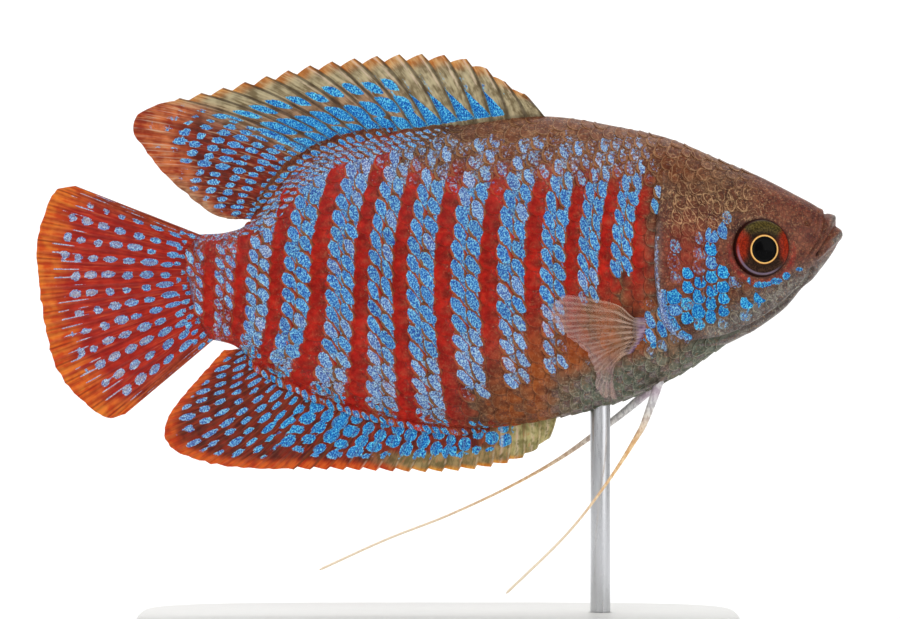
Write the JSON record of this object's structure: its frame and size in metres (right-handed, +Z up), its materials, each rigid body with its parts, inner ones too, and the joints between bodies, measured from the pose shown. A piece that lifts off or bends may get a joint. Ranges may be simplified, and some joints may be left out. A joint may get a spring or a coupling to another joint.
{
  "type": "dwarf gourami, life-size display model on a stand",
  "caption": "Deep, flat-sided little fish with long spiny fins and thread-like feelers, swimming level above a flat base on a slim rod.",
  "frame": {"origin": "on the surface that the stand rests on, below the middle of the fish's length and of its width", "axes": "+X towards the snout, +Y to the fish's left side, +Z up"},
  "size_m": [0.0805, 0.034, 0.0588],
  "materials": {
    "scales": "smooth wet scales, red bars between rows of light blue patches",
    "head_skin": "smooth brown skin with blue scales on the cheek",
    "fins": "satin membrane, red and orange with rows of light blue spots",
    "clear_fins": "thin see-through membrane with fine rays",
    "feelers": "satin, pale at the root and gold along the thread",
    "eyes": "wet and glossy, black pupil in a thin gold ring, red and olive iris",
    "stand_base": "pale satin",
    "stand_rod": "satin"
  },
  "bodies": {
    "root": {"head": "head_skin", "lower_jaw": "head_skin", "trunk": "scales", "tail_base": "scales", "dorsal_fin": "fins", "anal_fin": "fins", "caudal_fin": "fins", "pectoral_fin_right": "clear_fins", "pectoral_fin_left": "clear_fins", "pelvic_feeler_right": "feelers", "pelvic_feeler_left": "feelers", "eye_right": "eyes", "eye_left": "eyes", "stand_base": "stand_base", "stand_rod": "stand_rod"}
  },
  "joints": []
}
